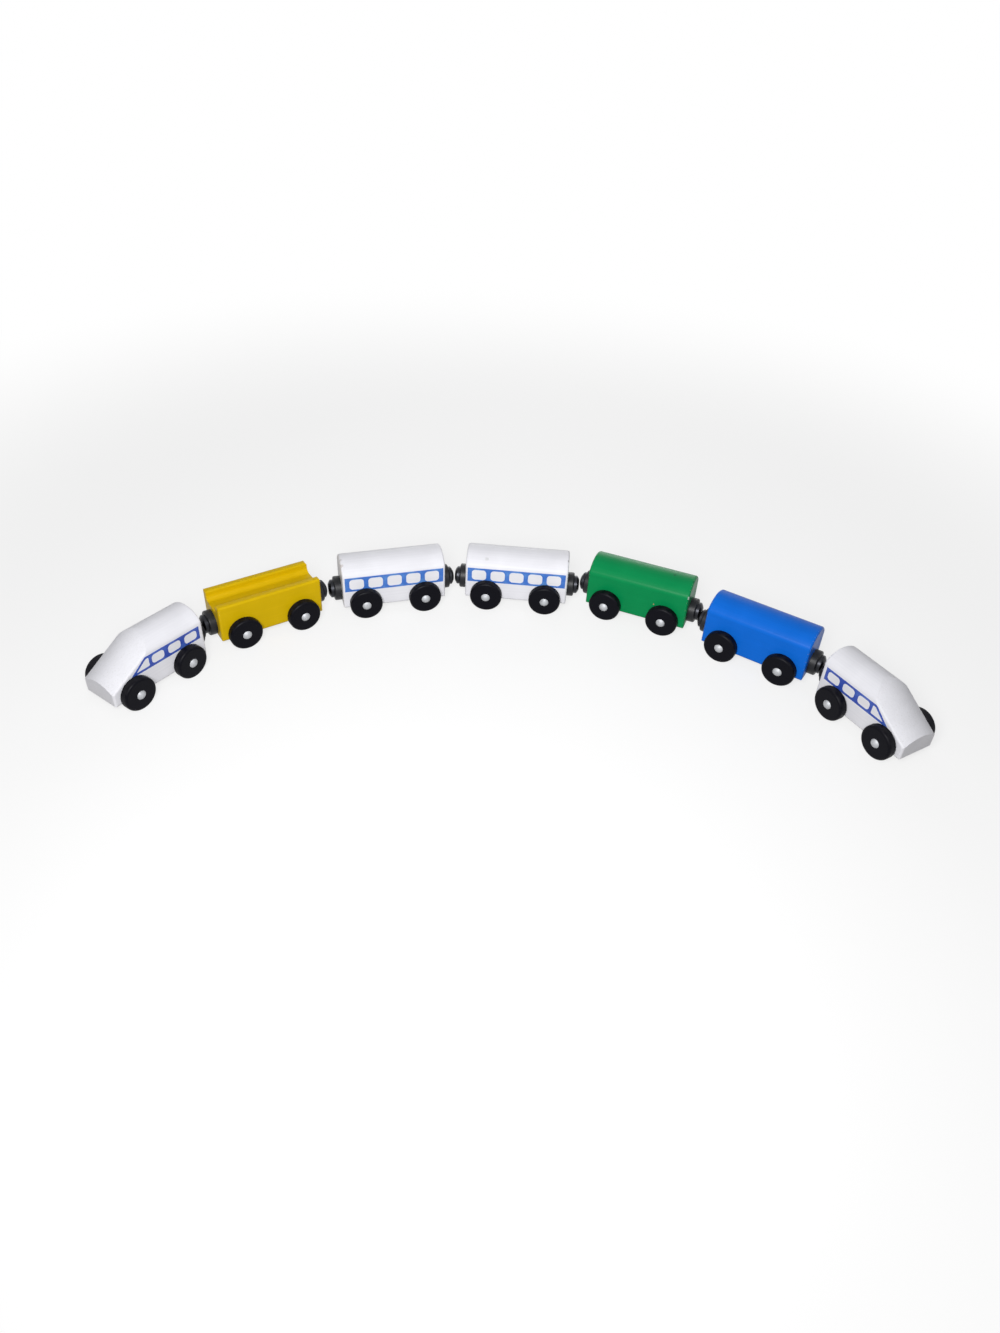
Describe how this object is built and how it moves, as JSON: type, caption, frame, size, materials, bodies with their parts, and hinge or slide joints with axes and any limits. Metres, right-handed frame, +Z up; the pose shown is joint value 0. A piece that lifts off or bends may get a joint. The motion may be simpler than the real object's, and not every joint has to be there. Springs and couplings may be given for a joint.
{
  "type": "wooden toy train",
  "caption": "Painted wooden toy train in a curve: wagons between sloping-nosed engines, on free-rolling wheelsets and joined by domed magnet couplers.",
  "frame": {"origin": "on the floor under the centre of the middle coach", "axes": "+X along the middle coach towards the right engine, +Z up from the floor, and both ends of the train curl towards -Y"},
  "size_m": [0.4324, 0.1523, 0.033],
  "materials": {
    "white_paint": "painted, semi-gloss",
    "yellow_paint": "painted, semi-gloss",
    "green_paint": "painted, semi-gloss",
    "blue_paint": "painted, semi-gloss",
    "black_plastic": "moulded",
    "axle_steel": "bright zinc",
    "magnet_nickel": "nickel plated",
    "dark_screw": "blackened"
  },
  "bodies": {
    "left_engine": {"left_engine_body": "white_paint", "left_engine_coupler_cup": "black_plastic", "left_engine_magnet": "magnet_nickel", "left_engine_coupler_screw": "dark_screw"},
    "left_engine_left_wheelset": {"left_engine_left_axle": "axle_steel", "left_engine_left_wheels": "black_plastic"},
    "left_engine_right_wheelset": {"left_engine_right_axle": "axle_steel", "left_engine_right_wheels": "black_plastic"},
    "yellow_wagon": {"yellow_wagon_body": "yellow_paint", "yellow_wagon_coupler_cups": "black_plastic", "yellow_wagon_magnets": "magnet_nickel", "yellow_wagon_coupler_screws": "dark_screw"},
    "yellow_wagon_left_wheelset": {"yellow_wagon_left_axle": "axle_steel", "yellow_wagon_left_wheels": "black_plastic"},
    "yellow_wagon_right_wheelset": {"yellow_wagon_right_axle": "axle_steel", "yellow_wagon_right_wheels": "black_plastic"},
    "left_coach": {"left_coach_body": "white_paint", "left_coach_coupler_cups": "black_plastic", "left_coach_magnets": "magnet_nickel", "left_coach_coupler_screws": "dark_screw"},
    "left_coach_left_wheelset": {"left_coach_left_axle": "axle_steel", "left_coach_left_wheels": "black_plastic"},
    "left_coach_right_wheelset": {"left_coach_right_axle": "axle_steel", "left_coach_right_wheels": "black_plastic"},
    "middle_coach": {"middle_coach_body": "white_paint", "middle_coach_coupler_cups": "black_plastic", "middle_coach_magnets": "magnet_nickel", "middle_coach_coupler_screws": "dark_screw"},
    "middle_coach_left_wheelset": {"middle_coach_left_axle": "axle_steel", "middle_coach_left_wheels": "black_plastic"},
    "middle_coach_right_wheelset": {"middle_coach_right_axle": "axle_steel", "middle_coach_right_wheels": "black_plastic"},
    "green_wagon": {"green_wagon_body": "green_paint", "green_wagon_coupler_cups": "black_plastic", "green_wagon_magnets": "magnet_nickel", "green_wagon_coupler_screws": "dark_screw"},
    "green_wagon_left_wheelset": {"green_wagon_left_axle": "axle_steel", "green_wagon_left_wheels": "black_plastic"},
    "green_wagon_right_wheelset": {"green_wagon_right_axle": "axle_steel", "green_wagon_right_wheels": "black_plastic"},
    "blue_wagon": {"blue_wagon_body": "blue_paint", "blue_wagon_coupler_cups": "black_plastic", "blue_wagon_magnets": "magnet_nickel", "blue_wagon_coupler_screws": "dark_screw"},
    "blue_wagon_left_wheelset": {"blue_wagon_left_axle": "axle_steel", "blue_wagon_left_wheels": "black_plastic"},
    "blue_wagon_right_wheelset": {"blue_wagon_right_axle": "axle_steel", "blue_wagon_right_wheels": "black_plastic"},
    "right_engine": {"right_engine_body": "white_paint", "right_engine_coupler_cup": "black_plastic", "right_engine_magnet": "magnet_nickel", "right_engine_coupler_screw": "dark_screw"},
    "right_engine_left_wheelset": {"right_engine_left_axle": "axle_steel", "right_engine_left_wheels": "black_plastic"},
    "right_engine_right_wheelset": {"right_engine_right_axle": "axle_steel", "right_engine_right_wheels": "black_plastic"}
  },
  "joints": [
    {"name": "left_coach_swing", "type": "hinge", "parent": "middle_coach", "child": "left_coach", "pos_m": [-0.02945, 0, 0.0125], "axis": [0, 0, 1], "range_deg": [-59.9, 20.1]},
    {"name": "yellow_wagon_swing", "type": "hinge", "parent": "left_coach", "child": "yellow_wagon", "pos_m": [-0.10073, -0.02315, 0.0125], "axis": [0, 0, 1], "range_deg": [-57.7, 22.3]},
    {"name": "left_engine_swing", "type": "hinge", "parent": "yellow_wagon", "child": "left_engine", "pos_m": [-0.16235, -0.06533, 0.0125], "axis": [0, 0, 1], "range_deg": [-61.1, 18.9]},
    {"name": "green_wagon_swing", "type": "hinge", "parent": "middle_coach", "child": "green_wagon", "pos_m": [0.04537, 0.00302, 0.0125], "axis": [0, 0, -1], "range_deg": [-58.5, 21.5]},
    {"name": "blue_wagon_swing", "type": "hinge", "parent": "green_wagon", "child": "blue_wagon", "pos_m": [0.10122, -0.01567, 0.0125], "axis": [0, 0, -1], "range_deg": [-50.7, 29.3]},
    {"name": "right_engine_swing", "type": "hinge", "parent": "blue_wagon", "child": "right_engine", "pos_m": [0.1645, -0.05544, 0.0125], "axis": [0, 0, -1], "range_deg": [-66.2, 13.8]},
    {"name": "left_engine_left_wheels_roll", "type": "hinge", "parent": "left_engine", "child": "left_engine_left_wheelset", "pos_m": [-0.19457, -0.11818, 0.00925], "axis": [-0.8545, 0.5195, 0], "continuous": true},
    {"name": "left_engine_right_wheels_roll", "type": "hinge", "parent": "left_engine", "child": "left_engine_right_wheelset", "pos_m": [-0.17742, -0.08999, 0.00925], "axis": [-0.8545, 0.5195, 0], "continuous": true},
    {"name": "yellow_wagon_left_wheels_roll", "type": "hinge", "parent": "yellow_wagon", "child": "yellow_wagon_left_wheelset", "pos_m": [-0.1526, -0.05783, 0.00925], "axis": [-0.6101, 0.7923, 0], "continuous": true},
    {"name": "yellow_wagon_right_wheels_roll", "type": "hinge", "parent": "yellow_wagon", "child": "yellow_wagon_right_wheelset", "pos_m": [-0.12543, -0.0369, 0.00925], "axis": [-0.6101, 0.7923, 0], "continuous": true},
    {"name": "left_coach_left_wheels_roll", "type": "hinge", "parent": "left_coach", "child": "left_coach_left_wheelset", "pos_m": [-0.08917, -0.01897, 0.00925], "axis": [-0.3404, 0.9403, 0], "continuous": true},
    {"name": "left_coach_right_wheels_roll", "type": "hinge", "parent": "left_coach", "child": "left_coach_right_wheelset", "pos_m": [-0.05692, -0.00729, 0.00925], "axis": [-0.3404, 0.9403, 0], "continuous": true},
    {"name": "middle_coach_left_wheels_roll", "type": "hinge", "parent": "middle_coach", "child": "middle_coach_left_wheelset", "pos_m": [-0.01715, 0, 0.00925], "axis": [0, 1, 0], "continuous": true},
    {"name": "middle_coach_right_wheels_roll", "type": "hinge", "parent": "middle_coach", "child": "middle_coach_right_wheelset", "pos_m": [0.01715, 0, 0.00925], "axis": [0, 1, 0], "continuous": true},
    {"name": "green_wagon_left_wheels_roll", "type": "hinge", "parent": "green_wagon", "child": "green_wagon_left_wheelset", "pos_m": [0.05703, -0.00088, 0.00925], "axis": [0.3173, 0.9483, 0], "continuous": true},
    {"name": "green_wagon_right_wheels_roll", "type": "hinge", "parent": "green_wagon", "child": "green_wagon_right_wheelset", "pos_m": [0.08956, -0.01176, 0.00925], "axis": [0.3173, 0.9483, 0], "continuous": true},
    {"name": "blue_wagon_left_wheels_roll", "type": "hinge", "parent": "blue_wagon", "child": "blue_wagon_left_wheelset", "pos_m": [0.12382, -0.03271, 0.00925], "axis": [0.4879, 0.8729, 0], "continuous": true},
    {"name": "blue_wagon_right_wheels_roll", "type": "hinge", "parent": "blue_wagon", "child": "blue_wagon_right_wheelset", "pos_m": [0.15376, -0.04944, 0.00925], "axis": [0.4879, 0.8729, 0], "continuous": true},
    {"name": "right_engine_left_wheels_roll", "type": "hinge", "parent": "right_engine", "child": "right_engine_left_wheelset", "pos_m": [0.1819, -0.07848, 0.00925], "axis": [0.8231, 0.5678, 0], "continuous": true},
    {"name": "right_engine_right_wheels_roll", "type": "hinge", "parent": "right_engine", "child": "right_engine_right_wheelset", "pos_m": [0.20064, -0.10565, 0.00925], "axis": [0.8231, 0.5678, 0], "continuous": true}
  ]
}
